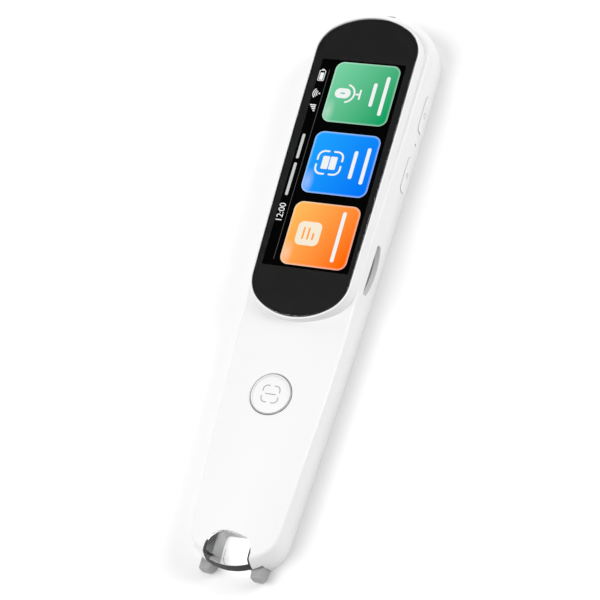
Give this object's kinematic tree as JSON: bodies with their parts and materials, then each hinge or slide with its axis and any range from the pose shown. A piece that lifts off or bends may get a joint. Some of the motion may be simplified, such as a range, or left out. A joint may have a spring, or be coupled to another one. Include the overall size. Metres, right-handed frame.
{
  "type": "translator scanning pen",
  "caption": "Translator scanning pen: flat white body with a lit screen, round thumb button, side buttons, speaker grille, and a clear nose window between the feet of a sliding trigger.",
  "frame": {"origin": "under the middle of the box, on the back face", "axes": "+Y along the pen to the top end, +Z out of the screen, +X to the side with the two buttons. The pen lies on its back."},
  "size_m": [0.0342, 0.1544, 0.013],
  "materials": {
    "white_shell": "satin, slightly glossy",
    "white_back": "satin",
    "white_button": "satin",
    "cover_glass": "polished, black printed border",
    "display": "lit display area",
    "clear_window": "polished, clear",
    "grey_plastic": "fine matt",
    "bezel_grey": "matt",
    "lens_glass": "coated",
    "camera_black": "matt",
    "light_board": "matt",
    "switch_black": "matt",
    "shield_steel": "brushed",
    "spring_steel": "drawn wire",
    "board_green": "solder mask",
    "flex_film": "amber film",
    "battery_foil": "foil pouch",
    "soft_rubber": "soft",
    "speaker_mesh": "fine weave"
  },
  "bodies": {
    "body": {"front_shell": "white_shell", "back_shell": "white_back", "cover_glass": "cover_glass", "display_panel": "display", "display_back_plate": "shield_steel", "display_flex": "flex_film", "power_switch": "switch_black", "function_switch": "switch_black", "home_switch": "switch_black", "slot_liner": "grey_plastic", "nose_window": "clear_window", "trigger_spring": "spring_steel", "trigger_switch": "switch_black", "camera_bezel": "bezel_grey", "light_board": "light_board", "camera_lens": "lens_glass", "camera_module": "camera_black", "main_board": "board_green", "processor_shield": "shield_steel", "microphone_boot": "soft_rubber", "microphone": "shield_steel", "battery_pad": "soft_rubber", "battery": "battery_foil", "speaker_mesh": "speaker_mesh", "speaker_gasket": "soft_rubber", "speaker": "camera_black", "charging_socket": "shield_steel", "antenna": "flex_film", "board_screws": "spring_steel"},
    "home_key": {"home_button": "white_button"},
    "power_key": {"power_button": "white_button"},
    "function_key": {"function_button": "white_button"},
    "trigger": {"scan_trigger": "grey_plastic"}
  },
  "joints": [
    {"name": "home_press", "type": "slide", "parent": "body", "child": "home_key", "axis": [0, 0, -1], "range_m": [0, 0.0004], "stiffness_N_per_m": 300, "springref_m": -0.001},
    {"name": "power_press", "type": "slide", "parent": "body", "child": "power_key", "axis": [-1, 0, 0], "range_m": [0, 0.00035], "stiffness_N_per_m": 300, "springref_m": -0.001},
    {"name": "function_press", "type": "slide", "parent": "body", "child": "function_key", "axis": [-1, 0, 0], "range_m": [0, 0.00035], "stiffness_N_per_m": 300, "springref_m": -0.001},
    {"name": "trigger_press", "type": "slide", "parent": "body", "child": "trigger", "axis": [0, 1, 0], "range_m": [0, 0.0004], "stiffness_N_per_m": 300, "springref_m": -0.001, "deforming": ["trigger_spring"]}
  ]
}
